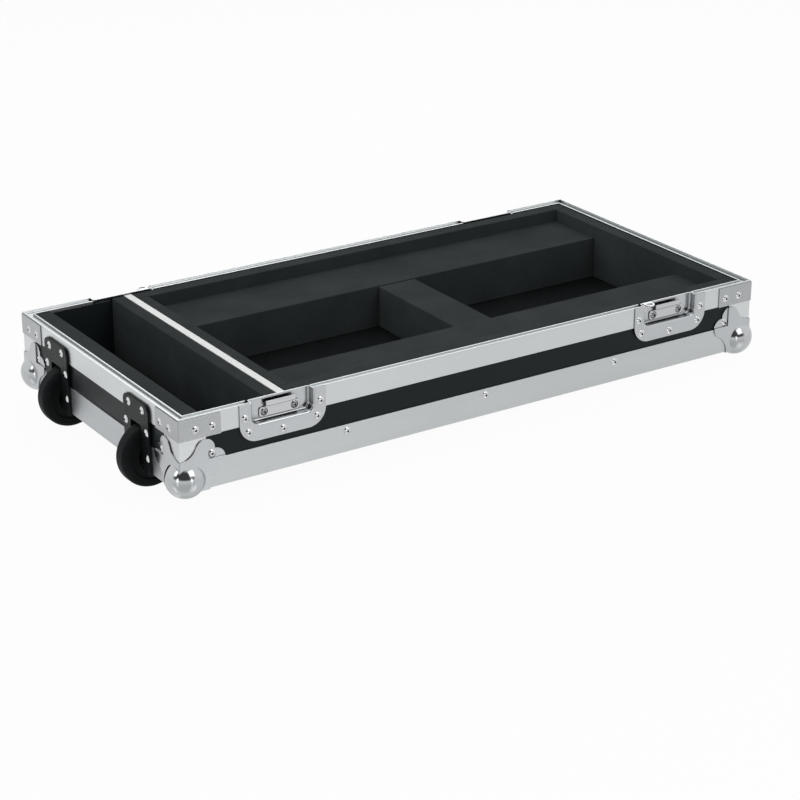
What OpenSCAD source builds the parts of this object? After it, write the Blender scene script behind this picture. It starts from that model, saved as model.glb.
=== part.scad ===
/* [Case] */
// Length over the aluminium angles
case_l = 800; // [700:1:900]
// Depth over the aluminium angles
case_w = 391; // [360:1:450]
// Height of the rim lip above the underside of the lower angles
rim_h = 87.5; // [86:0.5:110]
// Thickness of the laminated plywood
ply_t = 9.5; // [9:0.5:12]

/* [Aluminium] */
// Sheet thickness of the edge angles
angle_t = 1.5; // [1:0.1:2]
// Leg of the lower and vertical angles
angle_leg = 33; // [28:1:34]
// Height of the outer face of the rim profile
rim_face = 25.5; // [22:0.5:28]
// Thickness of the rim profile
rim_t = 1.5; // [1.2:0.1:1.8]
// Depth of the groove between the two lips of the rim
groove_depth = 3.6; // [2.5:0.1:3.9]
// How much the inner lip stands below the outer one
lip_drop = 1; // [0.5:0.1:1.5]

/* [Rim braces] */
// Length of each leg of a rim brace
brace_leg = 51; // [45:1:60]
// Height of a rim brace
brace_h = 24.4; // [20:0.2:25]
// How far the brace's top lies below the rim lip
brace_drop = 1.8; // [0.5:0.1:2.5]
// Thickness of a rim brace
brace_t = 1.2; // [1:0.1:1.6]
// Distance of the first rivet from the corner
brace_rivet_a = 20; // [16:1:24]
// Distance of the second rivet from the corner
brace_rivet_b = 40.5; // [36:0.5:44]

/* [Ball corners] */
// Diameter of the pressed ball
ball_d = 45; // [42:1:48]
// Distance of the ball centre behind the side faces
ball_inset = 12; // [10:0.5:14]
// Height of the ball centre above the underside of the angles
ball_rise = 12.5; // [11:0.5:14]
// Sheet thickness of the ball corner
corner_t = 1.5; // [1.2:0.1:2]
// Radius of the two lobes of a leg
lobe_r = 12.2; // [11:0.1:12.6]
// Distance of a lobe's centre from the edge that it lies along
lobe_in = 33; // [31:0.5:35]
// Distance of a lobe's centre from the other edge
lobe_out = 46.2; // [44:0.2:47]
// Bottom of the notch between two legs
notch_at = 37.5; // [35:0.5:39]

/* [Latch dishes] */
// Distance of a latch from the end of the case
latch_from_end = 128.5; // [120:0.5:150]
// Width of the flange
flange_w = 109; // [104:1:116]
// Height of the flange below the rim lip
flange_h = 46; // [42:1:50]
// Radius of the two lower corners of the flange
flange_r = 22; // [16:1:26]
// Inside width of the recess
recess_w = 77; // [72:1:80]
// Inside height of the recess below the rim lip
recess_h = 26.7; // [25:0.1:29]
// Depth of the recess behind the outer face
recess_d = 8.6; // [8:0.1:8.8]
// Inside radius of the lower corners of the recess
recess_r = 8; // [6:0.5:10]
// Sheet thickness of the dish
dish_t = 1.2; // [0.8:0.1:1.2]
// Drawing radius where the flange turns into the recess
shoulder_r = 2.4; // [2:0.1:3]
// Drawing radius where the recess turns into its back
heel_r = 2.4; // [2:0.1:3]

/* [Keepers] */
// Width of the riveted plate
keeper_w = 50.6; // [46:0.2:54]
// Height of the riveted plate
keeper_h = 11; // [10:0.5:12]
// Width of the hooked lip
hook_w = 37; // [32:1:42]
// Height of the upright end of the lip
hook_h = 4; // [3:0.5:5]
// Sheet thickness
keeper_t = 1.5; // [1.2:0.1:1.6]
// Distance between the two rivets
keeper_pitch = 38.4; // [34:0.2:40]
// Gap between the plate and the floor of the recess
keeper_lift = 3.4; // [2.5:0.1:4]

/* [Padlock staples] */
// Width of the ear
ear_w = 13; // [12:0.5:13]
// How far the ear stands out of the flange
ear_out = 1.8; // [1:0.1:3]
// Thickness of the staple
ear_t = 1.5; // [1.2:0.1:2]
// Length of the eye along the case
eye_l = 9; // [8:0.1:9.4]
// Width of the eye across the case
eye_w = 6.6; // [5:0.1:7]

/* [Tip wheels] */
// Diameter of a wheel
wheel_d = 76; // [70:1:77]
// Width of the tread
wheel_w = 21; // [18:0.5:23]
// Distance of the axle behind the end face
wheel_in = 12; // [10:0.5:14]
// Height of the axle above the underside of the angles
wheel_rise = 12; // [11:0.5:13.5]
// Distance of a wheel from the long side of the case
wheel_from_side = 94.5; // [90:0.1:120]
// Diameter of the axle
axle_d = 8; // [6:0.5:10]
// Radial running clearance on the axle
axle_fit = 0.08; // [0.05:0.01:0.1]
// Width of the bracket
bracket_w = 58.5; // [57:0.5:66]
// How far the bracket's top lies below the rim lip
bracket_drop = 8; // [6:0.1:14]
// Plate thickness of the bracket
bracket_t = 3; // [2:0.5:3.5]
// Width of the slot that the wheel stands in
slot_w = 25.5; // [24:0.5:27]
// Height of that slot
slot_h = 52.5; // [51:0.5:55]

/* [Inside] */
// Gap between the top of the foam and the rim lip
foam_below_rim = 2; // [1.5:0.1:4]
// Foam on the left end wall
foam_end_t = 21; // [15:1:25]
// Clear length of the accessory compartment
bay_l = 80.5; // [60:0.5:100]
// Foam on the compartment side of the divider
foam_bay_t = 16.5; // [10:0.5:20]
// Thickness of the white divider board
divider_t = 9.5; // [8:0.5:12]
// Foam on the well side of the divider
foam_left_t = 15; // [10:1:20]
// Foam along the front, the back and the right end
border_t = 18; // [12:1:22]
// Thickness of the foam on the floor of the well
foam_floor_t = 3.5; // [3:0.5:8]
// How far the ledge lies below the top of the foam
ledge_drop = 16; // [10:1:25]
// Width of the front ledge
ledge_front_w = 79; // [60:1:90]
// Width of the back ledge
ledge_back_w = 85; // [60:1:95]
// Width of the bar between the two pockets
bar_w = 54; // [40:1:70]
// How far the bar lies below the ledge
bar_drop = 1.2; // [0:0.1:4]
// Length of the left pocket
pocket_left_l = 277.5; // [240:0.5:300]

/* [Rivets] */
// Diameter of a rivet head
head_d = 9.5; // [8:0.1:10]
// Height of a rivet head
head_h = 1.7; // [1.4:0.1:2.2]
// Diameter of a rivet shank
shank_d = 4.8; // [4:0.1:5]
// Distance between the rivets of a lower angle
angle_rivet_pitch = 189; // [150:1:200]

/* [Hidden] */
$fn = 64;

overrun = 1;
seat_gap = 0.3;
shank_gap = 0.05;

ball_r = ball_d / 2;
wheel_r = wheel_d / 2;
ball_out = ball_r - ball_inset;
wheel_out = wheel_r - wheel_in;
left_out = max(ball_out, wheel_out);
case_x = (left_out - ball_out) / 2;
base_z = max(ball_r - ball_rise, wheel_r - wheel_rise);

half_l = case_l / 2;
half_w = case_w / 2;
wall_in = angle_t + ply_t;
panel_top = angle_t + ply_t;
web_top = rim_h - groove_depth;
wall_top = web_top - rim_t;
flange_bottom = rim_h - rim_face;
rim_in_w = wall_in;

latch_x = half_l - latch_from_end;
dish_top = rim_h - lip_drop / 2;
recess_floor = rim_h - recess_h;
cut_gap = 0.1;
rim_gap = recess_w / 2 + shoulder_r + cut_gap;

angle_rivet_share = 0.756;
angle_rivet_z = angle_rivet_share * angle_leg;
brace_top = rim_h - brace_drop;
brace_rivet_share = 0.58;
brace_rivet_z = brace_top - brace_rivet_share * brace_h;

lobe_gap = 2;
lobe_fit = min(lobe_out, brace_top - brace_h - lobe_gap - lobe_r);
level_share = 0.945;
leg_reach = lobe_out + lobe_r;
leg_step = angle_leg + corner_t;
rivet_gap = 0.35;
leg_rivet = leg_step + head_d / 2 + rivet_gap;

mandrel_share = 0.6;
dimple_share = 0.7;

flange_rivet_side = (recess_w / 2 + shoulder_r + flange_w / 2) / 2;
flange_rivet_share = 0.37;
low_rivet_share = 0.748;
mid_rivet_share = 0.4;
flange_rivet_z = rim_h - flange_rivet_share * flange_h;
flange_rivet_low = [flange_w / 2 - flange_r / 2, rim_h - low_rivet_share * flange_h];
flange_low = rim_h - flange_h;
flange_rivet_mid = flange_low + mid_rivet_share * (recess_floor - shoulder_r - flange_low);

keeper_z = recess_floor + keeper_lift;
keeper_bend = keeper_z + keeper_h;
bend_r = 1;
bend_run = 0.4;
keeper_corner = 3;

ear_x = -(recess_w / 2 - heel_r - ear_w / 2);

wheel_y = half_w - wheel_from_side;
pan_t = 1.5;
pan_w = slot_w + 2 * pan_t;
pan_gap = 2;
pan_d = wheel_in + wheel_r + pan_gap;
pan_r = wheel_r;
bracket_corner = 9;
slot_corner = 3;
bracket_h = rim_h - bracket_drop;
foot_past_pan = 8;
foot_l = pan_d + foot_past_pan;
bracket_rivet_shares = [[0.2735, 0.899], [0.4137, 0.596], [0.4137, 0.2176]];
bracket_rivets_at = [for (s = bracket_rivet_shares) [s.x * bracket_w, s.y * bracket_h]];

hub_share = 0.55;
boss_share = 0.95;
web_share = 0.4;
tread_share = 0.28;
hub_r = hub_share * wheel_r;
hub_boss_r = boss_share * axle_d;
hub_web = web_share * wheel_w;
hub_rim_t = 2.5;
boss_w = slot_w - 2 * seat_gap;
tread_r = tread_share * wheel_w;

foam_top = rim_h - foam_below_rim;
bay_x = -half_l + wall_in + foam_end_t;
divider_x = bay_x + bay_l + foam_bay_t;
well_x = divider_x + divider_t + foam_left_t;
well_end = half_l - wall_in - border_t;
well_y = -half_w + wall_in + border_t;
well_back = half_w - wall_in - border_t;
floor_top = panel_top + foam_floor_t;
ledge_top = foam_top - ledge_drop;
pocket_front = well_y + ledge_front_w;
pocket_back = well_back - ledge_back_w;
bar_x = well_x + pocket_left_l;

laminate = "#26282a";
aluminium = "#c9ccce";
steel = "#b7babc";
black_steel = "#1c1d1f";
rubber = "#18191a";
nylon = "#3a3c3e";
foam_grey = "#3a3d40";
white_board = "#e8eae8";

// Puts a piece drawn in the case's own frame, with the angles' underside at zero, into the part's frame
module in_case() {
    translate([case_x, 0, base_z]) children();
}

// Carries a piece drawn at the front left corner to the corner that the two signs name
module at_corner(sx, sy) {
    in_case()
        translate([sx * half_l, sy * half_w, 0])
            mirror([sx > 0 ? 1 : 0, 0, 0])
                mirror([0, sy > 0 ? 1 : 0, 0])
                    children();
}

// Carries a piece drawn for a front latch, with its middle at zero, to the latch that the signs name
module at_latch(sx, sy) {
    in_case()
        translate([sx * latch_x, sy * half_w, 0])
            rotate([0, 0, sy > 0 ? 180 : 0])
                children();
}

// Carries a piece drawn for a tip wheel to the front or back one on the left end
module at_wheel(sy) {
    in_case() translate([-half_l, sy * wheel_y, 0]) children();
}

// Stands a flat outline up, its second axis along Z, between two depths along Y
module upright(from, to) {
    translate([0, to, 0]) rotate([90, 0, 0]) linear_extrude(to - from) children();
}

// Extrudes an outline of depth and height along X, about the middle
module along_x(length) {
    translate([-length / 2, 0, 0]) rotate([90, 0, 90]) linear_extrude(length) children();
}

module block(from, to) {
    translate(from) cube(to - from);
}

// Rectangle between two corners
module field(from, to) {
    translate(from) square(to - from);
}

// Rectangle with its corners rounded
module round_field(from, to, r) {
    field(from + [r, 0], to - [r, 0]);
    field(from + [0, r], to - [0, r]);
    for (x = [from.x + r, to.x - r], y = [from.y + r, to.y - r])
        translate([x, y]) circle(r);
}

// Plate outline that is open at the top and rounded at its two lower corners
module u_field(half, bottom, top, r) {
    field([-half, bottom + r], [half, top]);
    field([-half + r, bottom], [half - r, top]);
    for (x = [-half + r, half - r])
        translate([x, bottom + r]) circle(r);
}

// Quarter of a ring, from angle zero to ninety degrees
module quarter_ring(inner, outer) {
    intersection() {
        difference() {
            circle(outer);
            circle(inner);
        }
        square(outer);
    }
}

// Domed blind rivet, its head standing on zero and its shank reaching down
module rivet(grip) {
    dome_r = (head_d * head_d / 4 + head_h * head_h) / (2 * head_h);
    rim_r = head_d / 2;
    pin_r = mandrel_share * shank_d / 2;
    dimple = dimple_share * head_h;
    rotate_extrude() {
        difference() {
            intersection() {
                translate([0, head_h - dome_r]) circle(dome_r);
                square([rim_r, head_h]);
            }
            translate([0, head_h - dimple]) square([pin_r, dimple + overrun]);
        }
        translate([0, -grip]) square([shank_d / 2, grip]);
    }
}

module shank_hole(grip) {
    translate([0, 0, -grip - overrun])
        cylinder(d = shank_d + 2 * shank_gap, h = grip + 2 * overrun);
}

// Space that both wheel brackets take out of the left end
module wheel_cuts() {
    for (sy = [-1, 1])
        translate([-half_l, sy * wheel_y, 0])
            block(
                [-overrun, -pan_w / 2 - seat_gap, -overrun],
                [pan_d + pan_t + seat_gap, pan_w / 2 + seat_gap, slot_h + pan_t + seat_gap]
            );
}

// Plywood shell
module bottom_panel() {
    color(laminate) in_case() difference() {
        block([-half_l + angle_t, -half_w + angle_t, angle_t], [half_l - angle_t, half_w - angle_t, panel_top]);
        wheel_cuts();
    }
}

module long_wall() {
    difference() {
        block([-half_l + angle_t, angle_t, panel_top], [half_l - angle_t, wall_in, wall_top]);
        for (sx = [-1, 1])
            translate([sx * latch_x, 0, 0])
                upright(-overrun, recess_d + dish_t + cut_gap)
                    u_field(
                        recess_w / 2 + dish_t + cut_gap,
                        recess_floor - dish_t - cut_gap,
                        rim_h,
                        recess_r + dish_t + cut_gap
                    );
    }
}

module wall_front() {
    color(laminate) in_case() translate([0, -half_w, 0]) long_wall();
}

module wall_back() {
    color(laminate) in_case() mirror([0, 1, 0]) translate([0, -half_w, 0]) long_wall();
}

module end_wall() {
    block([angle_t, -half_w + wall_in, panel_top], [wall_in, half_w - wall_in, wall_top]);
}

module wall_left() {
    color(laminate) in_case() difference() {
        translate([-half_l, 0, 0]) end_wall();
        wheel_cuts();
    }
}

module wall_right() {
    color(laminate) in_case() mirror([1, 0, 0]) translate([-half_l, 0, 0]) end_wall();
}

// Plan of one length of edging, mitred at forty-five degrees at both ends
module mitred_plan(length, width) {
    polygon([[-length / 2, 0], [length / 2, 0], [length / 2 - width, width], [-length / 2 + width, width]]);
}

module angle_section() {
    difference() {
        square(angle_leg);
        translate([angle_t, angle_t]) square(angle_leg);
    }
}

module lower_angle(length) {
    intersection() {
        along_x(length) angle_section();
        linear_extrude(angle_leg) mitred_plan(length, angle_leg);
    }
}

module angle_rivet_spots() {
    for (k = [-1, 0, 1])
        translate([k * angle_rivet_pitch, 0, 0]) children();
}

module face_rivet_pose(z) {
    translate([0, 0, z]) rotate([90, 0, 0]) children();
}

module long_angle() {
    difference() {
        lower_angle(case_l);
        angle_rivet_spots() {
            face_rivet_pose(angle_rivet_z) shank_hole(angle_t);
            translate([0, angle_rivet_z, 0]) mirror([0, 0, 1]) shank_hole(angle_t);
        }
    }
}

module angle_bottom_front() {
    color(aluminium) in_case() translate([0, -half_w, 0]) long_angle();
}

module angle_bottom_back() {
    color(aluminium) in_case() mirror([0, 1, 0]) translate([0, -half_w, 0]) long_angle();
}

module end_angle() {
    translate([-half_l, 0, 0]) rotate([0, 0, -90]) lower_angle(case_w);
}

module angle_bottom_left() {
    color(aluminium) in_case() difference() {
        end_angle();
        wheel_cuts();
    }
}

module angle_bottom_right() {
    color(aluminium) in_case() mirror([1, 0, 0]) end_angle();
}

module corner_angle() {
    translate([0, 0, angle_leg]) linear_extrude(flange_bottom - angle_leg) angle_section();
}

module angle_corner_front_left() {
    color(aluminium) at_corner(-1, -1) corner_angle();
}

module angle_corner_front_right() {
    color(aluminium) at_corner(1, -1) corner_angle();
}

module angle_corner_back_left() {
    color(aluminium) at_corner(-1, 1) corner_angle();
}

module angle_corner_back_right() {
    color(aluminium) at_corner(1, 1) corner_angle();
}

// Rim profile: an outer face, a web over the plywood and two lips with a groove between them
module rim_section() {
    field([0, flange_bottom], [rim_t, rim_h]);
    field([0, wall_top], [rim_in_w, web_top]);
    field([rim_in_w - rim_t, wall_top], [rim_in_w, rim_h - lip_drop]);
}

module rim_length(from, to, mitre_from, mitre_to) {
    intersection() {
        translate([(from + to) / 2, 0, 0]) along_x(to - from) rim_section();
        linear_extrude(rim_h + overrun)
            polygon([
                [from, 0],
                [to, 0],
                [to - mitre_to * rim_in_w, rim_in_w],
                [from + mitre_from * rim_in_w, rim_in_w]
            ]);
    }
}

module rim_end_length() {
    rim_length(-half_l, -latch_x - rim_gap, 1, 0);
}

module rim_middle_length() {
    rim_length(-latch_x + rim_gap, latch_x - rim_gap, 0, 0);
}

module at_long_side(sx, sy) {
    in_case()
        mirror([sx > 0 ? 1 : 0, 0, 0])
            mirror([0, sy > 0 ? 1 : 0, 0])
                translate([0, -half_w, 0])
                    children();
}

module rim_front_left() {
    color(aluminium) at_long_side(-1, -1) rim_end_length();
}

module rim_front_middle() {
    color(aluminium) at_long_side(-1, -1) rim_middle_length();
}

module rim_front_right() {
    color(aluminium) at_long_side(1, -1) rim_end_length();
}

module rim_back_left() {
    color(aluminium) at_long_side(-1, 1) rim_end_length();
}

module rim_back_middle() {
    color(aluminium) at_long_side(-1, 1) rim_middle_length();
}

module rim_back_right() {
    color(aluminium) at_long_side(1, 1) rim_end_length();
}

module rim_across() {
    translate([-half_l, 0, 0]) rotate([0, 0, -90]) rim_length(-half_w, half_w, 1, 1);
}

module rim_left() {
    color(aluminium) in_case() rim_across();
}

module rim_right() {
    color(aluminium) in_case() mirror([1, 0, 0]) rim_across();
}

// Plain bent plate round each rim corner, two rivets to a leg
module brace_rivet_spots() {
    for (at = [brace_rivet_a, brace_rivet_b]) {
        translate([at, -brace_t, brace_rivet_z]) rotate([90, 0, 0]) children();
        translate([-brace_t, at, brace_rivet_z]) rotate([0, -90, 0]) children();
    }
}

module brace() {
    difference() {
        translate([0, 0, brace_top - brace_h]) linear_extrude(brace_h) {
            field([0, -brace_t], [brace_leg, 0]);
            field([-brace_t, 0], [0, brace_leg]);
            intersection() {
                circle(brace_t);
                translate([-brace_t, -brace_t]) square(brace_t);
            }
        }
        brace_rivet_spots() shank_hole(brace_t);
    }
}

module brace_front_left() {
    color(steel) at_corner(-1, -1) brace();
}

module brace_front_right() {
    color(steel) at_corner(1, -1) brace();
}

module brace_back_left() {
    color(steel) at_corner(-1, 1) brace();
}

module brace_back_right() {
    color(steel) at_corner(1, 1) brace();
}

// Ball corner: three legs with two lobes each, stepped down beside the angles, and a pressed ball.
// A leg's side is an arc centred over the edge, from the notch to where it meets the lobe.
module leg_half(across, out, notch) {
    lobe = [across, out];
    side_at = (across * across + out * out - pow(notch - lobe_r, 2)) / (2 * (out - notch + lobe_r));
    side_r = side_at - notch;
    meets = [0, side_at] + (lobe - [0, side_at]) * side_r / (side_r + lobe_r);
    difference() {
        polygon([[0, 0], [0, notch], meets, lobe]);
        translate([0, side_at]) circle(side_r);
    }
    polygon([[0, 0], lobe, [level_share * lobe_in, level_share * lobe_in]]);
    translate(lobe) circle(lobe_r);
}

// A leg reaches a little further up than along the edge
module leg_outline(upright_leg) {
    level = level_share * [lobe_in, lobe_out, notch_at];
    leg_half(level.x, upright_leg ? lobe_fit : level.y, upright_leg ? notch_at : level.z);
    mirror([1, -1]) leg_half(upright_leg ? lobe_in : level.x, level.y, level.z);
}

module leg_rivet_spot() {
    translate([leg_rivet, leg_rivet, 0]) mirror([0, 0, 1]) children();
}

// One leg in the XY plane: below zero on the angles, above zero where it steps down between them
module corner_leg(upright_leg) {
    difference() {
        union() {
            translate([0, 0, -corner_t]) linear_extrude(corner_t) difference() {
                leg_outline(upright_leg);
                translate([leg_step, leg_step]) square(leg_reach);
            }
            linear_extrude(angle_t) intersection() {
                leg_outline(upright_leg);
                translate([angle_leg + seat_gap / 2, angle_leg + seat_gap / 2]) square(leg_reach);
            }
        }
        leg_rivet_spot() shank_hole(angle_t);
    }
}

// Takes what is drawn on the underside to the front face
module on_front() {
    rotate([90, 0, 0]) mirror([0, 0, 1]) children();
}

// Takes what is drawn on the underside to the end face
module on_end() {
    rotate([0, -90, 0]) mirror([0, 0, 1]) mirror([1, -1, 0]) children();
}

module ball_corner() {
    ball_at = [ball_inset, ball_inset, ball_rise];
    difference() {
        union() {
            corner_leg(false);
            on_front() corner_leg(true);
            on_end() corner_leg(true);
            difference() {
                union() {
                    translate(ball_at) sphere(ball_r);
                    cylinder(r = corner_t, h = notch_at);
                    rotate([0, 90, 0]) cylinder(r = corner_t, h = level_share * notch_at);
                    rotate([-90, 0, 0]) cylinder(r = corner_t, h = level_share * notch_at);
                }
                cube(leg_reach);
            }
        }
        translate(ball_at) sphere(ball_r - corner_t);
    }
}

module ball_corner_front_left() {
    color(steel) at_corner(-1, -1) ball_corner();
}

module ball_corner_front_right() {
    color(steel) at_corner(1, -1) ball_corner();
}

module ball_corner_back_left() {
    color(steel) at_corner(-1, 1) ball_corner();
}

module ball_corner_back_right() {
    color(steel) at_corner(1, 1) ball_corner();
}

// Drawn sheet between the flange and the back of the dish: rounded shoulder, wall and rounded heel
module draw_section() {
    translate([shoulder_r, shoulder_r - dish_t])
        mirror([1, 0]) mirror([0, 1]) quarter_ring(shoulder_r - dish_t, shoulder_r);
    field([0, shoulder_r - dish_t], [dish_t, recess_d - heel_r]);
    translate([-heel_r, recess_d - heel_r]) quarter_ring(heel_r, heel_r + dish_t);
}

// Runs the drawn section down one side, round the corner and along half of the floor
module half_draw() {
    half = recess_w / 2;
    translate([half, 0, recess_floor + recess_r])
        linear_extrude(dish_top - recess_floor - recess_r) draw_section();
    translate([half - recess_r, 0, recess_floor + recess_r])
        rotate([-90, 0, 0])
            rotate_extrude(angle = 90) translate([recess_r, 0]) draw_section();
    translate([0, 0, recess_floor])
        rotate([0, 90, 0]) linear_extrude(half - recess_r) draw_section();
}

module dish_rivet_spots() {
    face_rivet_pose(0) {
        for (x = [-flange_rivet_side, flange_rivet_side])
            translate([x, flange_rivet_z, dish_t]) children();
        for (x = [-flange_rivet_low.x, flange_rivet_low.x])
            translate([x, flange_rivet_low.y, dish_t]) children();
        translate([0, flange_rivet_mid, dish_t]) children();
    }
}

module keeper_rivet_spots() {
    face_rivet_pose(keeper_z + keeper_h / 2)
        for (x = [-keeper_pitch / 2, keeper_pitch / 2])
            translate([x, 0, keeper_t - recess_d]) children();
}

module latch_dish() {
    difference() {
        union() {
            upright(-dish_t, 0) difference() {
                u_field(flange_w / 2, rim_h - flange_h, dish_top, flange_r);
                u_field(
                    recess_w / 2 + shoulder_r,
                    recess_floor - shoulder_r,
                    rim_h,
                    recess_r + shoulder_r
                );
            }
            half_draw();
            mirror([1, 0, 0]) half_draw();
            upright(recess_d, recess_d + dish_t)
                u_field(recess_w / 2 - heel_r, recess_floor + heel_r, dish_top, recess_r - heel_r);
        }
        dish_rivet_spots() shank_hole(dish_t);
    }
}

module latch_dish_front_left() {
    color(steel) at_latch(-1, -1) latch_dish();
}

module latch_dish_front_right() {
    color(steel) at_latch(1, -1) latch_dish();
}

module latch_dish_back_left() {
    color(steel) at_latch(-1, 1) latch_dish();
}

module latch_dish_back_right() {
    color(steel) at_latch(1, 1) latch_dish();
}

// Side view of a keeper's lip: the sheet swings out from the plate and turns up again
module hook_section() {
    face = recess_d - keeper_t;
    first = [face - bend_r, keeper_bend];
    shelf = keeper_bend + bend_r + keeper_t;
    second = [first.x - bend_run, shelf + bend_r];
    translate(first) quarter_ring(bend_r, bend_r + keeper_t);
    field([second.x, shelf - keeper_t], [first.x, shelf]);
    translate(second) mirror([1, 0]) mirror([0, 1]) quarter_ring(bend_r, bend_r + keeper_t);
    field(second - [bend_r + keeper_t, 0], second + [-bend_r, hook_h]);
}

module keeper() {
    difference() {
        union() {
            upright(recess_d - keeper_t, recess_d)
                round_field([-keeper_w / 2, keeper_z], [keeper_w / 2, keeper_bend], keeper_corner);
            along_x(hook_w) hook_section();
        }
        keeper_rivet_spots() shank_hole(keeper_t);
    }
}

module keeper_front_left() {
    color(steel) at_latch(-1, -1) keeper();
}

module keeper_front_right() {
    color(steel) at_latch(1, -1) keeper();
}

module keeper_back_left() {
    color(steel) at_latch(-1, 1) keeper();
}

module keeper_back_right() {
    color(steel) at_latch(1, 1) keeper();
}

// Staple with a flat ear and an eye, standing over one end of a dish
module staple() {
    ear_r = ear_w / 2;
    ear_low = dish_top - ear_t;
    eye_y = (recess_d - ear_out - dish_t) / 2;
    eye_r = eye_w / 2;
    translate([ear_x, 0, 0]) {
        translate([0, 0, ear_low]) linear_extrude(ear_t) difference() {
            union() {
                field([-ear_r, ear_r - dish_t - ear_out], [ear_r, recess_d]);
                translate([0, ear_r - dish_t - ear_out]) circle(ear_r);
            }
            field([-ear_w, recess_d], [ear_w, recess_d + ear_w]);
            for (x = [-1, 1])
                translate([x * (eye_l / 2 - eye_r), eye_y]) circle(eye_r);
            field([-eye_l / 2 + eye_r, eye_y - eye_r], [eye_l / 2 - eye_r, eye_y + eye_r]);
        }
        block([-ear_r, recess_d - ear_t, keeper_bend], [0, recess_d, ear_low]);
    }
}

module padlock_staples() {
    color(steel) {
        at_latch(1, -1) staple();
        at_latch(-1, 1) staple();
    }
}

// Side view of the pan that houses a wheel: open at the end face and at the underside
module pan_section(grow) {
    depth = pan_d + grow;
    top = slot_h + grow;
    r = pan_r + grow;
    field([0, 0], [depth - r, top]);
    field([0, 0], [depth, top - r]);
    translate([depth - r, top - r]) intersection() {
        circle(r);
        square(r);
    }
}

module bracket_rivet_spots() {
    for (side = [-1, 1]) {
        for (at = bracket_rivets_at)
            translate([-bracket_t, side * at.x, at.y]) rotate([0, -90, 0]) children();
        translate([(pan_d + angle_t) / 2, side * bracket_rivets_at[1].x, -bracket_t])
            mirror([0, 0, 1]) children();
    }
}

// Bent plate with a slot for the wheel and a pan behind it, whose cheeks carry the axle
module wheel_bracket() {
    half = bracket_w / 2;
    difference() {
        union() {
            rotate([90, 0, 90]) translate([0, 0, -bracket_t]) linear_extrude(bracket_t)
                difference() {
                    mirror([0, 1]) u_field(half, -bracket_h, 0, bracket_corner);
                    round_field([-slot_w / 2, -slot_h], [slot_w / 2, slot_h], slot_corner);
                }
            difference() {
                block([0, -half, -bracket_t], [foot_l, half, 0]);
                block([-overrun, -slot_w / 2, -bracket_t - overrun], [pan_d, slot_w / 2, overrun]);
            }
            for (side = [-1, 1])
                upright(side > 0 ? slot_w / 2 : -half, side > 0 ? half : -slot_w / 2)
                    intersection() {
                        circle(bracket_t);
                        translate([-bracket_t, -bracket_t]) square(bracket_t);
                    }
            difference() {
                upright(-pan_w / 2, pan_w / 2) pan_section(pan_t);
                upright(-slot_w / 2, slot_w / 2) pan_section(0);
                block([-overrun, -slot_w / 2, -overrun], [pan_t, slot_w / 2, slot_h]);
            }
        }
        translate([wheel_in, pan_w / 2 + overrun, wheel_rise])
            rotate([90, 0, 0]) cylinder(d = axle_d + 2 * shank_gap, h = pan_w + 2 * overrun);
        bracket_rivet_spots() shank_hole(bracket_t);
    }
}

module wheel_bracket_front() {
    color(black_steel) at_wheel(-1) wheel_bracket();
}

module wheel_bracket_back() {
    color(black_steel) at_wheel(1) wheel_bracket();
}

// Places a shape turned about Z on the axle, across the case
module on_axle(sy) {
    at_wheel(sy) translate([wheel_in, 0, wheel_rise]) rotate([90, 0, 0]) children();
}

module wheel_axles() {
    color(steel)
        for (sy = [-1, 1])
            on_axle(sy) translate([0, 0, -pan_w / 2]) cylinder(d = axle_d, h = pan_w);
}

module tyre() {
    half = wheel_w / 2;
    shoulder = half - tread_r;
    groove_r = (hub_r + wheel_r - tread_r) / 2;
    difference() {
        rotate_extrude() {
            field([hub_r, -half], [wheel_r - tread_r, half]);
            field([hub_r, -shoulder], [wheel_r, shoulder]);
            for (side = [-1, 1])
                translate([wheel_r - tread_r, side * shoulder]) circle(tread_r);
        }
        for (side = [-1, 1])
            translate([0, 0, side * half])
                rotate_extrude() translate([groove_r, 0]) circle(hub_rim_t / 2);
    }
}

module hub() {
    bore = axle_d / 2 + axle_fit;
    rotate_extrude() {
        field([bore, -boss_w / 2], [hub_boss_r, boss_w / 2]);
        field([bore, -hub_web / 2], [hub_r, hub_web / 2]);
        field([hub_r - hub_rim_t, -wheel_w / 2], [hub_r, wheel_w / 2]);
    }
}

module tyre_front() {
    color(rubber) on_axle(-1) tyre();
}

module tyre_back() {
    color(rubber) on_axle(1) tyre();
}

module hub_front() {
    color(nylon) on_axle(-1) hub();
}

module hub_back() {
    color(nylon) on_axle(1) hub();
}

// Rivets
module shell_rivets() {
    color(steel) {
        for (sy = [-1, 1])
            in_case() mirror([0, sy > 0 ? 1 : 0, 0]) translate([0, -half_w, 0]) angle_rivet_spots() {
                face_rivet_pose(angle_rivet_z) rivet(angle_t);
                translate([0, angle_rivet_z, 0]) mirror([0, 0, 1]) rivet(angle_t);
            }
        for (sx = [-1, 1], sy = [-1, 1])
            at_corner(sx, sy) {
                brace_rivet_spots() rivet(brace_t);
                leg_rivet_spot() rivet(angle_t);
                on_front() leg_rivet_spot() rivet(angle_t);
                on_end() leg_rivet_spot() rivet(angle_t);
            }
    }
}

module latch_rivets() {
    color(steel)
        for (sx = [-1, 1], sy = [-1, 1])
            at_latch(sx, sy) {
                dish_rivet_spots() rivet(dish_t);
                keeper_rivet_spots() rivet(keeper_t);
            }
}

module bracket_rivets() {
    color(steel)
        for (sy = [-1, 1])
            at_wheel(sy) bracket_rivet_spots() rivet(bracket_t);
}

// Divider and foam
module divider_board() {
    color(white_board) in_case()
        block(
            [divider_x, -half_w + wall_in, panel_top],
            [divider_x + divider_t, half_w - wall_in, foam_top]
        );
}

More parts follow.
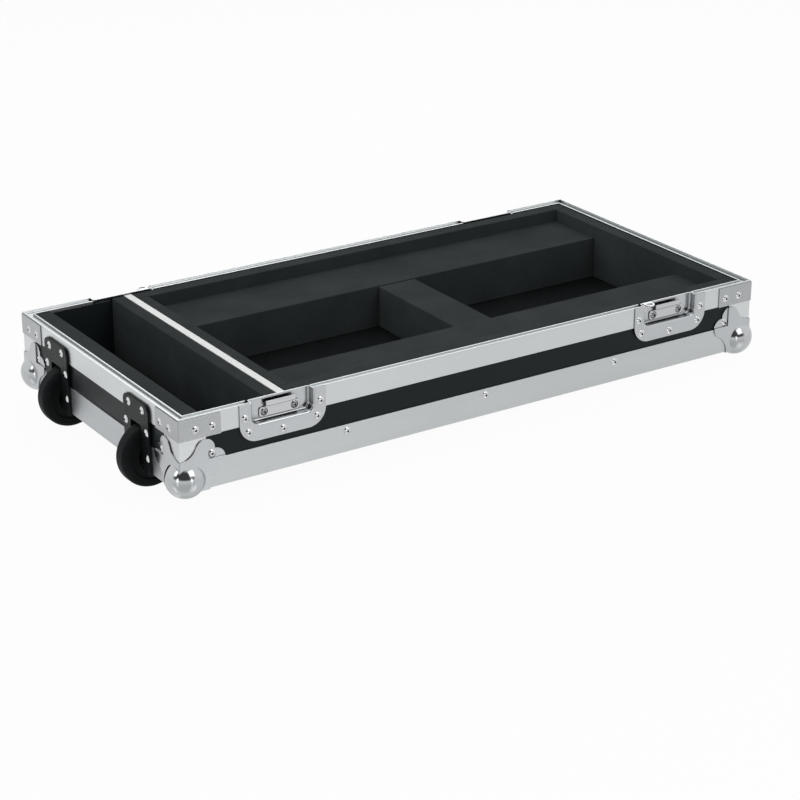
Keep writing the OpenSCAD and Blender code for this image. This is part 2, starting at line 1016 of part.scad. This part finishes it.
module foam_end() {
    color(foam_grey) in_case() difference() {
        block([-half_l + wall_in, -half_w + wall_in, panel_top], [bay_x, half_w - wall_in, foam_top]);
        wheel_cuts();
    }
}

module foam_bay() {
    color(foam_grey) in_case()
        block([divider_x - foam_bay_t, -half_w + wall_in, panel_top], [divider_x, half_w - wall_in, foam_top]);
}

module foam_left() {
    color(foam_grey) in_case()
        block([divider_x + divider_t, well_y, floor_top], [well_x, well_back, foam_top]);
}

module foam_front() {
    color(foam_grey) in_case()
        block([divider_x + divider_t, -half_w + wall_in, floor_top], [half_l - wall_in, well_y, foam_top]);
}

module foam_back() {
    color(foam_grey) in_case()
        block([divider_x + divider_t, well_back, floor_top], [half_l - wall_in, half_w - wall_in, foam_top]);
}

module foam_right() {
    color(foam_grey) in_case()
        block([well_end, well_y, floor_top], [half_l - wall_in, well_back, foam_top]);
}

module foam_ledge_front() {
    color(foam_grey) in_case() block([well_x, well_y, floor_top], [well_end, pocket_front, ledge_top]);
}

module foam_ledge_back() {
    color(foam_grey) in_case() block([well_x, pocket_back, floor_top], [well_end, well_back, ledge_top]);
}

module foam_bar() {
    color(foam_grey) in_case()
        block([bar_x, pocket_front, floor_top], [bar_x + bar_w, pocket_back, ledge_top - bar_drop]);
}

module foam_floor() {
    color(foam_grey) in_case()
        block([divider_x + divider_t, -half_w + wall_in, panel_top], [half_l - wall_in, half_w - wall_in, floor_top]);
}

bottom_panel();
wall_front();
wall_back();
wall_left();
wall_right();
angle_bottom_front();
angle_bottom_back();
angle_bottom_left();
angle_bottom_right();
angle_corner_front_left();
angle_corner_front_right();
angle_corner_back_left();
angle_corner_back_right();
rim_front_left();
rim_front_middle();
rim_front_right();
rim_back_left();
rim_back_middle();
rim_back_right();
rim_left();
rim_right();
brace_front_left();
brace_front_right();
brace_back_left();
brace_back_right();
ball_corner_front_left();
ball_corner_front_right();
ball_corner_back_left();
ball_corner_back_right();
latch_dish_front_left();
latch_dish_front_right();
latch_dish_back_left();
latch_dish_back_right();
keeper_front_left();
keeper_front_right();
keeper_back_left();
keeper_back_right();
padlock_staples();
wheel_bracket_front();
wheel_bracket_back();
wheel_axles();
tyre_front();
tyre_back();
hub_front();
hub_back();
shell_rivets();
latch_rivets();
bracket_rivets();
divider_board();
foam_end();
foam_bay();
foam_left();
foam_front();
foam_back();
foam_right();
foam_ledge_front();
foam_ledge_back();
foam_bar();
foam_floor();
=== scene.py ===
import math

import bmesh
import bpy
from mathutils import Euler, Matrix, Vector, noise


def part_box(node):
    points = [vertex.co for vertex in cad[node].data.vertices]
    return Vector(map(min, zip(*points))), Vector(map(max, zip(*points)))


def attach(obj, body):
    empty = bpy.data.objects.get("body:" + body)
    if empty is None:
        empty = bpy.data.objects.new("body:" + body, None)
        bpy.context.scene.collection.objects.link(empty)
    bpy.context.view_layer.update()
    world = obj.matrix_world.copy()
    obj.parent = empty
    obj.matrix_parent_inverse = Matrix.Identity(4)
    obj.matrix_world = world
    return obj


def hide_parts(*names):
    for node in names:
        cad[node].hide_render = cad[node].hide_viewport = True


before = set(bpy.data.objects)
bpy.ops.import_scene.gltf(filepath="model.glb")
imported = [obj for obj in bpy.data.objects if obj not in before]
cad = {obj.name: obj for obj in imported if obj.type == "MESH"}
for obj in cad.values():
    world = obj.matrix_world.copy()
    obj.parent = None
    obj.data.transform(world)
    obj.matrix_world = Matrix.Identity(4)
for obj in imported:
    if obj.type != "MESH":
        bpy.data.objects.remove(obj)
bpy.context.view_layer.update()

# Plywood shell. Five panels of plywood with a black laminate pressed on both faces, cut square and
# held by the aluminium edging. The laminate has a fine pebbled skin with a low sheen and rubbed spots.
# The inside faces of the long walls, at the ends of the accessory bay, are painted lighter: painted light
# where they sit in shade.
MM = 0.001
COOL = (0.82, 0.97, 1.0, 1.0)
LAMINATE_DEEP, LAMINATE_CLOUD = (0.0042, 0.0062, 0.0068), (0.0075, 0.0105, 0.0113)
LAMINATE_RUBBED = (0.015, 0.0185, 0.019)
LAMINATE_INSIDE_PAINTED_LIGHT = (0.016, 0.0205, 0.0225)
PEBBLES, LAMINATE_CLOUDS, RUBS = 1400, 22, 60
INNER_FACE = 190 * MM


class Wire:
    """A node's output, so that shader maths reads as sums."""

    def __init__(self, finish, socket):
        self.finish = finish
        self.socket = socket

    def maths(self, operation, *values):
        return self.finish.add("ShaderNodeMath", {"operation": operation}, dict(enumerate(values)))

    def __add__(self, other):
        return self.maths("ADD", self, other)

    def __sub__(self, other):
        return self.maths("SUBTRACT", self, other)

    def __rsub__(self, other):
        return self.maths("SUBTRACT", other, self)

    def __mul__(self, other):
        return self.maths("MULTIPLY", self, other)

    __radd__ = __add__
    __rmul__ = __mul__

    def vector(self, operation, *values, out=0):
        sockets = dict(enumerate((self, *values)))
        return self.finish.add("ShaderNodeVectorMath", {"operation": operation}, sockets, out)


class Finish:
    """One material, or the world, and the nodes in it."""

    def __init__(self, owner):
        owner.use_nodes = True
        self.owner = owner
        self.tree = owner.node_tree
        self.tree.nodes.clear()

    def add(self, kind, settings, sockets, out=0):
        node = self.tree.nodes.new(kind)
        for key, value in settings.items():
            setattr(node, key, value)
        for key, value in sockets.items():
            if isinstance(value, Wire):
                self.tree.links.new(value.socket, node.inputs[key])
            else:
                node.inputs[key].default_value = value
        return Wire(self, node.outputs[out]) if node.outputs else None

    def places(self, *stretch):
        spot = self.add("ShaderNodeTexCoord", {}, {}, "Object")
        return spot.vector("MULTIPLY", stretch)

    def grain(self, places, scale, detail, rough=0.5):
        return self.add(
            "ShaderNodeTexNoise", {}, {"Vector": places, "Scale": scale, "Detail": detail, "Roughness": rough}
        )

    def spread(self, value, low, high, to_low, to_high):
        return self.add(
            "ShaderNodeMapRange",
            {"interpolation_type": "SMOOTHSTEP"},
            {"Value": value, "From Min": low, "From Max": high, "To Min": to_low, "To Max": to_high},
        )

    def blend(self, share, one, other):
        shades = (value if isinstance(value, Wire) else (*value, 1) for value in (one, other))
        return self.add("ShaderNodeMix", {"data_type": "RGBA"}, dict(zip((0, 6, 7), (share, *shades))), 2)

    # Painted shade: colour darkens where ambient occlusion finds surfaces close by, in grooves, pits and
    # along contact lines.
    def crevice(self, reach, shut=0.35):
        open_sky = self.add("ShaderNodeAmbientOcclusion", {"samples": 6}, {"Distance": reach}, "AO")
        return self.spread(open_sky, shut, 0.9, 1.0, 0.0)

    def inside(self, depth, soft):
        place = self.add("ShaderNodeSeparateXYZ", {}, {0: self.places(1, 1, 1)}, "Y")
        return self.spread(place.maths("ABSOLUTE", place), depth - soft, depth + soft, 1.0, 0.0)

    def rounded(self, radius):
        soft = self.add("ShaderNodeBevel", {"samples": 4}, {"Radius": radius}, "Normal")
        true = self.add("ShaderNodeNewGeometry", {}, {}, "True Normal")
        edge_band = self.spread(soft.vector("DOT_PRODUCT", true, out="Value"), 0.82, 0.995, 1.0, 0.0)
        return soft, edge_band

    def bumped(self, height, depth, normal=None):
        sockets = {"Height": height, "Strength": 1.0, "Distance": depth}
        if normal:
            sockets["Normal"] = normal
        return self.add("ShaderNodeBump", {}, sockets)

    def surface(self, sockets):
        shader = self.add("ShaderNodeBsdfPrincipled", {}, sockets)
        self.add("ShaderNodeOutputMaterial", {}, {"Surface": shader})
        return self.owner


def finish(name):
    return Finish(bpy.data.materials.new(name))


def dress(material, *names):
    for name in names:
        for slot in cad[name].material_slots:
            slot.material = material


def laminate_finish(name, inner=None):
    f = finish(name)
    spots = f.places(1, 1, 1)
    pebble = f.grain(spots, PEBBLES, 2)
    cloud = f.grain(spots, LAMINATE_CLOUDS, 4, 0.6)
    rubbed = f.spread(f.grain(f.places(1, 1, 2.5), RUBS, 5, 0.7), 0.58, 0.75, 0.0, 1.0)
    colour = f.blend(cloud, LAMINATE_DEEP, LAMINATE_CLOUD)
    colour = f.blend(rubbed * 0.2, colour, LAMINATE_RUBBED)
    if inner:
        # Painted light on the inside faces of the long walls.
        colour = f.blend(f.inside(inner, MM), colour, LAMINATE_INSIDE_PAINTED_LIGHT)
    return f.surface({
        "Base Color": colour,
        "Roughness": f.spread(cloud, 0.3, 0.7, 0.33, 0.42) + rubbed * 0.1,
        "Specular IOR Level": 0.19,
        "Specular Tint": COOL,
        "Normal": f.bumped(pebble, 0.04 * MM),
    })


dress(laminate_finish("black_laminate"), "bottom_panel", "wall_left", "wall_right")
dress(laminate_finish("black_laminate_long", inner=INNER_FACE), "wall_front", "wall_back")


# Aluminium edging. Lower angles, upright corner angles and the rim profile with its two lips and groove.
# It is extruded, so fine die lines run along each length, under a thin satin anodised skin. Painted shade
# darkens the groove of the rim and the other crevices, and the insides of the back rim's lips get a painted
# highlight.
ALONG = {"x": (6, 900, 900), "y": (900, 6, 900), "z": (900, 900, 6)}
STREAK_WIDTH = 9
LIP_DEPTH = 194.75 * MM
LIP_PAINTED_HIGHLIGHT = (0.88, 0.9, 0.905)
ALUMINIUM_WORN_AND_HIGHLIGHT = (0.86, 0.87, 0.88)
ALUMINIUM_CREVICE_SHADE = (0.09, 0.094, 0.096)
ALUMINIUM_EDGE = 0.45 * MM
LONG_RIM_SHADE = (0.61, 0.635, 0.642)


def aluminium_finish(name, along, shade, crevice_shade=0.7, reach=1.2, edge_wear_and_highlight=0.5, lip_highlight=False):
    f = finish(name)
    lines = f.grain(f.places(*ALONG[along]), 1.0, 4, 0.65)
    streak = f.grain(f.places(*(value / STREAK_WIDTH for value in ALONG[along])), 1.0, 2)
    cloud = f.grain(f.places(1, 1, 1), 9, 3, 0.6)
    soft, edge_band = f.rounded(ALUMINIUM_EDGE)
    tone = f.spread(lines * 0.2 + streak * 0.3 + cloud * 0.5, 0.35, 0.65, 0.0, 1.0)
    colour = f.blend(tone, [c * 0.975 for c in shade], [min(1, c * 1.025) for c in shade])
    # Rounded edges lightened, partly as wear and partly as a painted highlight.
    colour = f.blend(edge_band * edge_wear_and_highlight, colour, ALUMINIUM_WORN_AND_HIGHLIGHT)
    # Painted highlight on the insides of the back rim's lips.
    if lip_highlight:
        colour = f.blend(f.inside(LIP_DEPTH, 0.5 * MM), colour, LIP_PAINTED_HIGHLIGHT)
    # Painted shade in the groove and the other crevices.
    colour = f.blend(f.crevice(reach * MM) * crevice_shade, colour, ALUMINIUM_CREVICE_SHADE)
    return f.surface({
        "Base Color": colour,
        "Metallic": 1.0,
        "Roughness": f.spread(lines * 0.5 + cloud * 0.5, 0.35, 0.65, 0.29, 0.35),
        "Normal": f.bumped(lines, 0.0018 * MM, soft),
    })


# Each run of angle and rim gets its own shade by the side it faces, lighter or darker as the light falls
# there: lit and shaded copies of one aluminium, painted light.
angle_x = aluminium_finish("angle_aluminium_long", "x", (0.545, 0.568, 0.575))
angle_y = aluminium_finish("angle_aluminium_end", "y", (0.485, 0.507, 0.52))
angle_z = aluminium_finish("angle_aluminium_upright", "z", (0.66, 0.68, 0.69))
rim_x = aluminium_finish("rim_aluminium_long", "x", LONG_RIM_SHADE, crevice_shade=0.25)
# The back rim is a lit copy: a painted highlight inside its lips and a deeper painted shade in its groove.
rim_back = aluminium_finish("rim_aluminium_back", "x", LONG_RIM_SHADE, crevice_shade=0.8, reach=3.0, lip_highlight=True)
rim_y = aluminium_finish("rim_aluminium_end", "y", (0.66, 0.684, 0.69), crevice_shade=1.0, reach=4.0, edge_wear_and_highlight=0.1)
dress(angle_x, "angle_bottom_front", "angle_bottom_back")
dress(angle_y, "angle_bottom_left", "angle_bottom_right")
CORNERS = [f"{side}_{end}" for side in ("front", "back") for end in ("left", "right")]
dress(angle_z, *(f"angle_corner_{corner}" for corner in CORNERS))
PARTS = ("left", "middle", "right")
dress(rim_x, *(f"rim_front_{part}" for part in PARTS))
dress(rim_back, *(f"rim_back_{part}" for part in PARTS))
dress(rim_y, "rim_left", "rim_right")


# Plated steel. Rim braces bent from flat strip and ball corners pressed from one sheet, zinc plated
# bright: smooth, faintly blue, with soft clouding in the plating and fine handling scratches.
PLATE_WORN_AND_HIGHLIGHT = (0.85, 0.86, 0.88)
PLATE_CREVICE_SHADE = (0.03, 0.032, 0.033)
PLATE_SUNK_DARK = (0.1, 0.104, 0.107)
SCRATCHES = (35, 900, 260)


def plated_finish(name, shade, rough, edge=0.4, crevice=1.4, crevice_shade=0.8, shut=0.35, inner=None):
    f = finish(name)
    spots = f.places(1, 1, 1)
    cloud = f.grain(spots, 30, 4, 0.6)
    scratch = f.grain(f.places(*SCRATCHES), 1.0, 2, 0.8)
    soft, edge_band = f.rounded(edge * MM)
    colour = f.blend(cloud, [c * 0.93 for c in shade], [min(1, c * 1.06) for c in shade])
    # Rounded edges lightened, partly as wear and partly as a painted highlight.
    colour = f.blend(edge_band * 0.5, colour, PLATE_WORN_AND_HIGHLIGHT)
    # Painted shade in crevices and along contact lines.
    colour = f.blend(f.crevice(crevice * MM, shut) * crevice_shade, colour, PLATE_CREVICE_SHADE)
    # Colour darkens on what sits deeper than the given depth.
    if inner:
        colour = f.blend(f.inside(inner, MM) * 0.7, colour, PLATE_SUNK_DARK)
    marks = f.spread(scratch, 0.6, 0.72, 0.0, 1.0)
    return f.surface({
        "Base Color": colour,
        "Metallic": 1.0,
        "Roughness": f.spread(cloud, 0.3, 0.7, rough * 0.85, rough * 1.15) + marks * 0.04,
        "Normal": f.bumped(cloud, 0.006 * MM, soft),
    })


brace_steel = plated_finish("brace_steel", (0.43, 0.445, 0.45), 0.28)
corner_steel = plated_finish("corner_steel", (0.50, 0.517, 0.53), 0.14)
dress(brace_steel, *(f"brace_{corner}" for corner in CORNERS))
dress(corner_steel, *(f"ball_corner_{corner}" for corner in CORNERS))


# Leg seams. Small steel tabs in the sheet of the ball corners' legs, one where the two lobes of each leg
# meet. They close the narrow slit there, sunk just under the face so that they leave no edge.
SHEET = 1.5 * MM
SINK = 0.02 * MM
SEAM_ACROSS, SEAM_UP = 31.34 * MM, 32.6 * MM
SEAM_WIDE, SEAM_HIGH = 2.0 * MM, 4.4 * MM


def seam(mesh, middle, size):
    matrix = Matrix.Translation(middle) @ Matrix.Diagonal((*size, 1))
    bmesh.ops.create_cube(mesh, size=1, matrix=matrix)


angle_low, angle_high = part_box("angle_bottom_front")
thick = SHEET - 2 * SINK
seams = bmesh.new()
for sx, corner_x in ((-1, angle_low.x), (1, angle_high.x)):
    for sy, corner_y in ((-1, angle_low.y), (1, -angle_low.y)):
        in_x, in_y = corner_x - sx * SEAM_ACROSS, corner_y - sy * SEAM_ACROSS
        out_x, out_y = corner_x + sx * SHEET / 2, corner_y + sy * SHEET / 2
        up, under = angle_low.z + SEAM_UP, angle_low.z - SHEET / 2
        seam(seams, (in_x, out_y, up), (SEAM_WIDE, thick, SEAM_HIGH))
        seam(seams, (out_x, in_y, up), (thick, SEAM_WIDE, SEAM_HIGH))
        seam(seams, (in_x, in_y, under), (SEAM_WIDE, SEAM_WIDE, thick))
seam_data = bpy.data.meshes.new("corner_seams")
seams.to_mesh(seam_data)
seams.free()
seam_data.materials.append(corner_steel)
corner_seams = bpy.data.objects.new("corner_seams", seam_data)
bpy.context.scene.collection.objects.link(corner_seams)
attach(corner_seams, "case")


# Latch hardware. Four dishes drawn from thin plated sheet, a hooked keeper riveted in each, and a flat
# padlock staple over one end of two of them. The drawn bends are polished by the tool.
# The long crevice reach of the dish and keeper paints shade into the dish's heel and under the keeper's
# hooked lip.
dish_steel = plated_finish("dish_steel", (0.5, 0.517, 0.53), 0.17, crevice=9.0)
keeper_steel = plated_finish("keeper_steel", (0.55, 0.56, 0.57), 0.18, crevice=4.0)
dress(dish_steel, *(f"latch_dish_{corner}" for corner in CORNERS))
dress(keeper_steel, "padlock_staples", *(f"keeper_{corner}" for corner in CORNERS))


# Tip wheels. Bent steel brackets with a black powder coat, rubber tyres moulded on nylon hubs, and
# plain steel pins as axles.
COAT_DEEP, COAT_CLOUD, COAT_WORN = (0.0055, 0.007, 0.0073), (0.0095, 0.0115, 0.0118), (0.04, 0.042, 0.044)
RUBBER, RUBBER_DUST = (0.0062, 0.0072, 0.0074), (0.0135, 0.015, 0.0154)
NYLON_DEEP, NYLON_PALE = (0.004, 0.0044, 0.0046), (0.009, 0.0097, 0.01)


def coat_finish():
    f = finish("black_powder_coat")
    peel = f.grain(f.places(1, 1, 1), 520, 3)
    cloud = f.grain(f.places(1, 1, 1), 40, 3)
    soft, edge_band = f.rounded(0.6 * MM)
    colour = f.blend(cloud, COAT_DEEP, COAT_CLOUD)
    return f.surface({
        "Base Color": f.blend(edge_band * 0.3, colour, COAT_WORN),
        "Roughness": f.spread(peel, 0.3, 0.7, 0.32, 0.46),
        "Specular IOR Level": 0.16,
        "Specular Tint": COOL,
        "Normal": f.bumped(peel, 0.06 * MM, soft),
    })


def rubber_finish():
    f = finish("tyre_rubber")
    skin = f.grain(f.places(1, 1, 1), 900, 3)
    dust = f.spread(f.grain(f.places(1, 1, 1), 70, 5, 0.7), 0.45, 0.75, 0.0, 1.0)
    return f.surface({
        "Base Color": f.blend(dust, RUBBER, RUBBER_DUST),
        "Roughness": f.spread(skin, 0.3, 0.7, 0.48, 0.6) + dust * 0.1,
        "Specular IOR Level": 0.11,
        "Specular Tint": COOL,
        "Normal": f.bumped(skin, 0.04 * MM),
    })


def nylon_finish():
    f = finish("hub_nylon")
    skin = f.grain(f.places(1, 1, 1), 300, 3)
    soft, edge_band = f.rounded(0.5 * MM)
    pale = f.spread(skin, 0.3, 0.7, 0, 1) + edge_band * 0.2
    return f.surface({
        "Base Color": f.blend(pale, NYLON_DEEP, NYLON_PALE),
        "Roughness": f.spread(skin, 0.3, 0.7, 0.4, 0.5),
        "Specular IOR Level": 0.2,
        "Normal": f.bumped(skin, 0.03 * MM, soft),
    })


dress(coat_finish(), "wheel_bracket_front", "wheel_bracket_back")
dress(rubber_finish(), "tyre_front", "tyre_back")
dress(nylon_finish(), "hub_front", "hub_back")
dress(plated_finish("axle_steel", (0.5, 0.51, 0.52), 0.3), "wheel_axles")


# Rivets. Domed blind rivets in plated steel, each with the pulled mandrel left as a pit in its head. Painted
# shade blackens the pit and darkens a ring round each head. The two of each keeper sit deep in the dish and
# are coloured darker by how deep they sit.
RIVET = {"shade": (0.66, 0.675, 0.68), "rough": 0.15, "edge": 0.06, "crevice": 4.0, "crevice_shade": 1.0, "shut": 0.7}
KEEPER_DEPTH = 192.5 * MM
dress(plated_finish("rivet_steel", **RIVET), "shell_rivets", "bracket_rivets")
dress(plated_finish("latch_rivet_steel", **RIVET, inner=KEEPER_DEPTH), "latch_rivets")


# Divider. A board in white laminate that stands across the case, between the accessory bay and the well.
# It is glued between two foam faces, so only its top edge shows.
BOARD_SHADE, BOARD_PALE, BOARD_EDGE = (0.93, 0.94, 0.945), (0.965, 0.97, 0.972), (0.6, 0.6, 0.59)


def board_finish():
    f = finish("white_laminate")
    skin = f.grain(f.places(1, 1, 1), 1200, 2)
    cloud = f.grain(f.places(1, 1, 1), 45, 4, 0.6)
    soft, edge_band = f.rounded(0.3 * MM)
    colour = f.blend(cloud, BOARD_SHADE, BOARD_PALE)
    return f.surface({
        "Base Color": f.blend(edge_band * 0.25, colour, BOARD_EDGE),
        "Roughness": f.spread(cloud, 0.3, 0.7, 0.35, 0.45),
        "Specular IOR Level": 0.4,
        "Normal": f.bumped(skin, 0.02 * MM, soft),
    })


dress(board_finish(), "divider_board")


# Foam. Blocks of dark grey closed-cell foam cut with a knife and glued in: crisp edges that give a little,
# faces that are never quite flat, and open cut cells all over the skin. The sides carry painted light: the
# end sides lighter and the long sides darker than the plain tone, by which way they face.
KNIFE = (8, 8, 400)
CELLS, CELL_GRAIN, FOAM_CLOUDS = 900.0, 700, 14


def foam_finish(name, dark, pale, end_side_light, long_side_light):
    f = finish(name)
    spots = f.places(1, 1, 1)
    cells = f.add("ShaderNodeTexVoronoi", {"feature": "F1"}, {"Vector": spots, "Scale": CELLS}, "Distance")
    fine = f.grain(spots, CELL_GRAIN, 4, 0.7)
    cloud = f.grain(spots, FOAM_CLOUDS, 4, 0.6)
    knife = f.grain(f.places(*KNIFE), 1.0, 3, 0.6)
    tone = f.spread(cloud * 0.6 + fine * 0.4, 0.35, 0.65, 0.0, 1.0)
    facing = f.add("ShaderNodeNewGeometry", {}, {}, "Normal")
    upright = f.add("ShaderNodeSeparateXYZ", {}, {0: facing}, "Z")
    across = f.add("ShaderNodeSeparateXYZ", {}, {0: facing}, "Y")
    skin = f.blend(tone, dark, pale)
    # Painted light: the end sides get lighter and the long sides darker than the tops, by which way they
    # face.
    end_side_lit, long_side_lit = (
        f.blend(tone, [c * gain for c in dark], [c * gain for c in pale]) for gain in (end_side_light, long_side_light)
    )
    cut = f.blend(f.spread(across.maths("ABSOLUTE", across), 0.3, 0.8, 0, 1), end_side_lit, long_side_lit)
    return f.surface({
        "Base Color": f.blend(f.spread(upright, 0.3, 0.8, 0, 1), cut, skin),
        "Roughness": f.spread(fine, 0.3, 0.7, 0.78, 0.95),
        "Specular IOR Level": 0.06,
        "Specular Tint": COOL,
        "Normal": f.bumped(cells * 0.6 + fine * 0.6 + knife * 0.3, 0.2 * MM),
    })


cut_foam = foam_finish("cut_foam", (0.035, 0.041, 0.0414), (0.0494, 0.0572, 0.0576), 1.46, 0.92)
base_foam = foam_finish("base_foam", (0.0074, 0.0088, 0.0092), (0.0125, 0.0146, 0.015), 1.0, 1.0)
EDGE = 1.1 * MM
WAVE = 0.35 * MM
CELL = 14 * MM
MERGE = 0.01 * MM
FLAT_ANGLE, CREST_ANGLE = math.radians(1), 0.5
BROAD_WAVES, FINE_WAVES = 28, 90
BROAD_SHARE, FINE_SHARE = 0.7, 0.3
SEED_STEPS = (3.7, 1.3, 7.1)


def foam_block(node, seed, foam):
    mesh = bmesh.new()
    mesh.from_mesh(cad[node].data)
    bmesh.ops.remove_doubles(mesh, verts=mesh.verts, dist=MERGE)
    bmesh.ops.dissolve_limit(mesh, angle_limit=FLAT_ANGLE, verts=mesh.verts, edges=mesh.edges)
    sharp = (edge for edge in mesh.edges if edge.is_manifold and edge.is_convex)
    crest = [edge for edge in sharp if edge.calc_face_angle() > CREST_ANGLE]
    bmesh.ops.bevel(
        mesh, geom=crest, offset=EDGE, segments=3, profile=0.5, affect="EDGES", clamp_overlap=True
    )
    low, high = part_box(node)
    for axis in range(3):
        steps = int((high[axis] - low[axis]) / CELL)
        normal = Vector([1.0 if i == axis else 0.0 for i in range(3)])
        for k in range(1, steps + 1):
            place = low + normal * (high[axis] - low[axis]) * k / (steps + 1)
            geometry = mesh.verts[:] + mesh.edges[:] + mesh.faces[:]
            bmesh.ops.bisect_plane(mesh, geom=geometry, plane_co=place, plane_no=normal)
    mesh.normal_update()
    offset = Vector([seed * step for step in SEED_STEPS])
    moves = []
    for vertex in mesh.verts:
        broad = noise.noise(vertex.co * BROAD_WAVES + offset) * BROAD_SHARE
        wave = broad + noise.noise(vertex.co * FINE_WAVES + offset) * FINE_SHARE
        moves.append((vertex, vertex.normal * (-WAVE * (0.5 + 0.5 * wave))))
    for vertex, move in moves:
        vertex.co += move
    data = bpy.data.meshes.new(f"cut_{node}")
    for face in mesh.faces:
        face.smooth = True
    mesh.to_mesh(data)
    mesh.free()
    data.materials.append(foam)
    piece = bpy.data.objects.new(f"cut_{node}", data)
    bpy.context.scene.collection.objects.link(piece)
    weights = piece.modifiers.new("even_shading", "WEIGHTED_NORMAL")
    weights.keep_sharp = True
    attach(piece, "case")
    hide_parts(node)


FOAM_NODES = [
    "foam_end", "foam_bay", "foam_left", "foam_front", "foam_back", "foam_right",
    "foam_ledge_front", "foam_ledge_back", "foam_bar", "foam_floor",
]
for seed, node in enumerate(FOAM_NODES):
    foam_block(node, seed, base_foam if node == "foam_floor" else cut_foam)


# Floor. The case stands on its two wheels and the right-hand balls, so the floor leans under it by less
# than one degree. It is matt white, and shows as white to the camera and in the metal.
BALL_R = 22.5 * MM
FLOOR_SPAN = 60.0
FLOOR_WHITE = (0.93, 0.93, 0.93, 1)
SEEN_WHITE, MIRRORED_WHITE = 0.955, 0.58
tyre_low, tyre_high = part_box("tyre_front")
ball_low, ball_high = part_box("ball_corner_front_right")
wheel_r = (tyre_high.z - tyre_low.z) / 2
wheel_x, wheel_z = (tyre_low.x + tyre_high.x) / 2, (tyre_low.z + tyre_high.z) / 2
ball_x, ball_z = ball_high.x - BALL_R, ball_low.z + BALL_R
run = math.hypot(ball_x - wheel_x, ball_z - wheel_z)
lean = math.atan2(ball_z - wheel_z, ball_x - wheel_x) + math.asin((wheel_r - BALL_R) / run)


def floor_finish():
    f = finish("pale_floor")
    path = f.tree.nodes.new("ShaderNodeLightPath")
    camera, glossy, passing = (
        Wire(f, path.outputs[ray]) for ray in ("Is Camera Ray", "Is Glossy Ray", "Is Transmission Ray")
    )
    matt = f.add("ShaderNodeBsdfDiffuse", {}, {"Color": FLOOR_WHITE})
    sheen = f.add("ShaderNodeBsdfGlossy", {}, {"Color": FLOOR_WHITE, "Roughness": 0.2})
    plain = f.add("ShaderNodeMixShader", {}, {0: glossy * 0.6, 1: matt, 2: sheen})
    white = f.add("ShaderNodeEmission", {}, {"Color": (1, 1, 1, 1), "Strength": 1.0})
    shown = camera * SEEN_WHITE + glossy * MIRRORED_WHITE + passing * MIRRORED_WHITE
    mixed = f.add("ShaderNodeMixShader", {}, {0: shown, 1: plain, 2: white})
    f.add("ShaderNodeOutputMaterial", {}, {"Surface": mixed})
    return f.owner


floor_mesh = bpy.data.meshes.new("floor")
reach = FLOOR_SPAN / 2
floor_mesh.from_pydata(
    [(-reach, -reach, 0), (reach, -reach, 0), (reach, reach, 0), (-reach, reach, 0)], [], [(0, 1, 2, 3)]
)
floor_mesh.materials.append(floor_finish())
floor = bpy.data.objects.new("floor", floor_mesh)
bpy.context.scene.collection.objects.link(floor)
floor.rotation_euler = Euler((0, -lean, 0))
floor.location = (wheel_x + wheel_r * math.sin(lean), 0, wheel_z - wheel_r * math.cos(lean))


# Studio. Soft lamps stand above, behind, at the front right and at the left, with two narrow strips low
# in front. The room is white, with a dark part behind the camera that the polished metal shows.
def lamp(name, place, aim, size, power):
    data = bpy.data.lights.new(name, "AREA")
    data.shape = "RECTANGLE"
    data.size, data.size_y = size
    data.energy = power
    item = bpy.data.objects.new(name, data)
    item.location = place
    item.rotation_euler = (Vector(aim) - Vector(place)).to_track_quat("-Z", "Y").to_euler()
    bpy.context.scene.collection.objects.link(item)


MIDDLE = (0, 0, 0)
NEAR_CORNER = (-0.4, -0.2, 0.05)
STRIP = (0.2, 0.4)
lamp("soft_top", (-0.1, 0.7, 1.8), MIDDLE, (2.0, 1.0), 5)
lamp("soft_back", (0.85, 1.3, 0.78), (0.1, 0, 0), (1.3, 0.45), 2.0)
lamp("soft_front", (0.5, -2.2, 1.9), MIDDLE, (1.5, 1.6), 15)
lamp("soft_left", (-2.3, -0.1, 1.6), MIDDLE, (0.6, 1.2), 5)
lamp("strip_left", (-1.52, -0.62, 0.22), NEAR_CORNER, STRIP, 0.6)
lamp("strip_right", (-0.15, -1.37, 0.22), NEAR_CORNER, STRIP, 0.4)

TO_FRONT = (-0.55, -0.83, 0)
DARK_SHARE = 0.93
DIFFUSE_LEVEL = 0.42
world = bpy.data.worlds.new("studio")
bpy.context.scene.world = world
w = Finish(world)
path = w.tree.nodes.new("ShaderNodeLightPath")
camera_ray, glossy_ray = (Wire(w, path.outputs[ray]) for ray in ("Is Camera Ray", "Is Glossy Ray"))
direction = w.add("ShaderNodeTexCoord", {}, {}, "Generated")
height = w.add("ShaderNodeSeparateXYZ", {}, {0: direction}, "Z")
toward_front = direction.vector("DOT_PRODUCT", TO_FRONT, out="Value")
dark_room = w.spread(height, 0.06, 0.24, 0, DARK_SHARE) * w.spread(toward_front, 0.3, 0.6, 0, 1)
level = camera_ray + (1 - camera_ray) * (glossy_ray * (1 - dark_room) + (1 - glossy_ray) * DIFFUSE_LEVEL)
background = w.add("ShaderNodeBackground", {}, {"Color": (1, 1, 1, 1), "Strength": level})
w.add("ShaderNodeOutputWorld", {}, {"Surface": background})

# Camera. It stands where the photograph was taken from, fitted to the straight edges of the case, with a
# long lens and no shift.
CAMERA_PLACE = (-1.41052, -2.17697, 1.06824)
CAMERA_YAW, CAMERA_PITCH = 33.26, 22.80
CAMERA_LENS = 102.57
camera_data = bpy.data.cameras.new("photo_view")
camera_data.sensor_width = 36
camera_data.lens = CAMERA_LENS
camera_data.clip_start = 0.05
camera = bpy.data.objects.new("photo_view", camera_data)
camera.location = CAMERA_PLACE
camera.rotation_euler = Euler((math.radians(90 - CAMERA_PITCH), 0, math.radians(-CAMERA_YAW)))
bpy.context.scene.collection.objects.link(camera)
bpy.context.scene.camera = camera
bpy.context.scene.view_settings.view_transform = "Standard"
